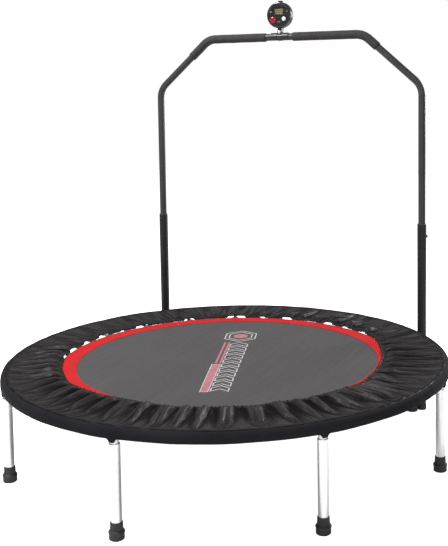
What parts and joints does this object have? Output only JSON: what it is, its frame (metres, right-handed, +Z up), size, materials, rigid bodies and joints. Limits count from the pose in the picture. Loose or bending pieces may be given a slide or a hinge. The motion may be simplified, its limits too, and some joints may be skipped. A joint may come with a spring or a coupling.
{
  "type": "mini trampoline",
  "caption": "Round indoor mini trampoline on straight legs, with a gathered fabric frame cover, a height-adjustable U-shaped handlebar with foam grips and a round jump computer.",
  "frame": {"origin": "on the floor under the mat's centre", "axes": "+Z up, handlebar at +Y so that the user faces +Y, +X to the right of the user"},
  "size_m": [1.239, 1.239, 1.2845],
  "materials": {
    "hoop_steel": "satin black powder coat",
    "zinc_steel": "bright zinc plate",
    "fastener": "zinc plate",
    "bright_screw": "bright nickel",
    "spring_steel": "drawn wire",
    "mat_fabric": "woven polypropylene",
    "red_tape": "woven edge tape",
    "webbing": "woven polypropylene webbing",
    "cover_fabric": "coated polyester with a low sheen",
    "black_tube": "satin black powder coat",
    "grey_tube": "satin charcoal powder coat",
    "foam": "matt cellular foam",
    "black_rubber": "matt",
    "black_plastic": "moulded",
    "gloss_casing": "gloss",
    "casing": "fine texture",
    "black_strap": "black",
    "clear_lens": "clear polished",
    "lcd": "smooth",
    "circuit_board": "solder mask",
    "battery": "satin sleeve",
    "red_plastic": "gloss",
    "white_plastic": "gloss"
  },
  "bodies": {
    "frame": {"cover": "cover_fabric", "foot_1": "black_rubber", "foot_2": "black_rubber", "foot_3": "black_rubber", "foot_4": "black_rubber", "foot_5": "black_rubber", "foot_6": "black_rubber", "foot_7": "black_rubber", "foot_8": "black_rubber", "frame_ring": "hoop_steel", "handle_bolts": "fastener", "handle_lower_left": "black_tube", "handle_lower_right": "black_tube", "handle_nuts": "fastener", "handle_washers": "fastener", "leg_1": "zinc_steel", "leg_2": "zinc_steel", "leg_3": "zinc_steel", "leg_4": "zinc_steel", "leg_5": "zinc_steel", "leg_6": "zinc_steel", "leg_7": "zinc_steel", "leg_8": "zinc_steel", "leg_sockets": "zinc_steel", "leg_studs": "fastener", "spacer_blocks": "black_plastic", "spring_eyes": "fastener", "springs": "spring_steel", "tube_bushings": "black_plastic", "tube_end_caps": "black_rubber"},
    "mat": {"mat": "mat_fabric", "red_band": "red_tape", "mat_tabs": "webbing", "v_rings": "fastener"},
    "handle": {"upper_handle": "grey_tube", "grip_left": "foam", "grip_right": "foam", "handle_end_plugs": "black_plastic", "snap_springs": "spring_steel"},
    "snap_left": {"snap_button_left": "fastener"},
    "snap_right": {"snap_button_right": "fastener"},
    "computer": {"computer_front": "gloss_casing", "computer_rear": "casing", "computer_lens": "clear_lens", "computer_display": "lcd", "computer_board": "circuit_board", "computer_switches": "black_plastic", "computer_battery": "battery", "battery_contacts": "spring_steel", "casing_screws": "fastener", "computer_bracket": "casing", "computer_strap": "black_strap", "strap_screw": "bright_screw", "strap_nut": "fastener", "bracket_screws": "fastener"},
    "red_push": {"red_button": "red_plastic"},
    "white_push": {"white_button": "white_plastic"},
    "lid": {"battery_lid": "casing"}
  },
  "joints": [
    {"name": "mat_bounce", "type": "slide", "parent": "frame", "child": "mat", "axis": [0, 0, -1], "range_m": [0, 0.08], "stiffness_N_per_m": 9000, "springref_m": -0.006, "deforming": ["springs"]},
    {"name": "handle_height", "type": "slide", "parent": "frame", "child": "handle", "axis": [0, 0, 1], "range_m": [-0.18, 0]},
    {"name": "snap_left_press", "type": "slide", "parent": "handle", "child": "snap_left", "axis": [0.7071, -0.7071, 0], "range_m": [0, 0.0087], "stiffness_N_per_m": 1500, "springref_m": -0.003, "deforming": ["snap_springs"]},
    {"name": "snap_right_press", "type": "slide", "parent": "handle", "child": "snap_right", "axis": [-0.7071, -0.7071, 0], "range_m": [0, 0.0087], "stiffness_N_per_m": 1500, "springref_m": -0.003, "deforming": ["snap_springs"]},
    {"name": "computer_tilt", "type": "hinge", "parent": "handle", "child": "computer", "pos_m": [-0.012, 0.44972, 1.169], "axis": [1, 0, 0], "range_deg": [-20, 20]},
    {"name": "red_press", "type": "slide", "parent": "computer", "child": "red_push", "axis": [0, 1, 0], "range_m": [0, 0.0012], "stiffness_N_per_m": 1200, "springref_m": -0.0008},
    {"name": "white_press", "type": "slide", "parent": "computer", "child": "white_push", "axis": [0, 1, 0], "range_m": [0, 0.0012], "stiffness_N_per_m": 1200, "springref_m": -0.0008},
    {"name": "lid_pull", "type": "slide", "parent": "computer", "child": "lid", "axis": [0, 1, 0], "range_m": [0, 0.012]}
  ]
}
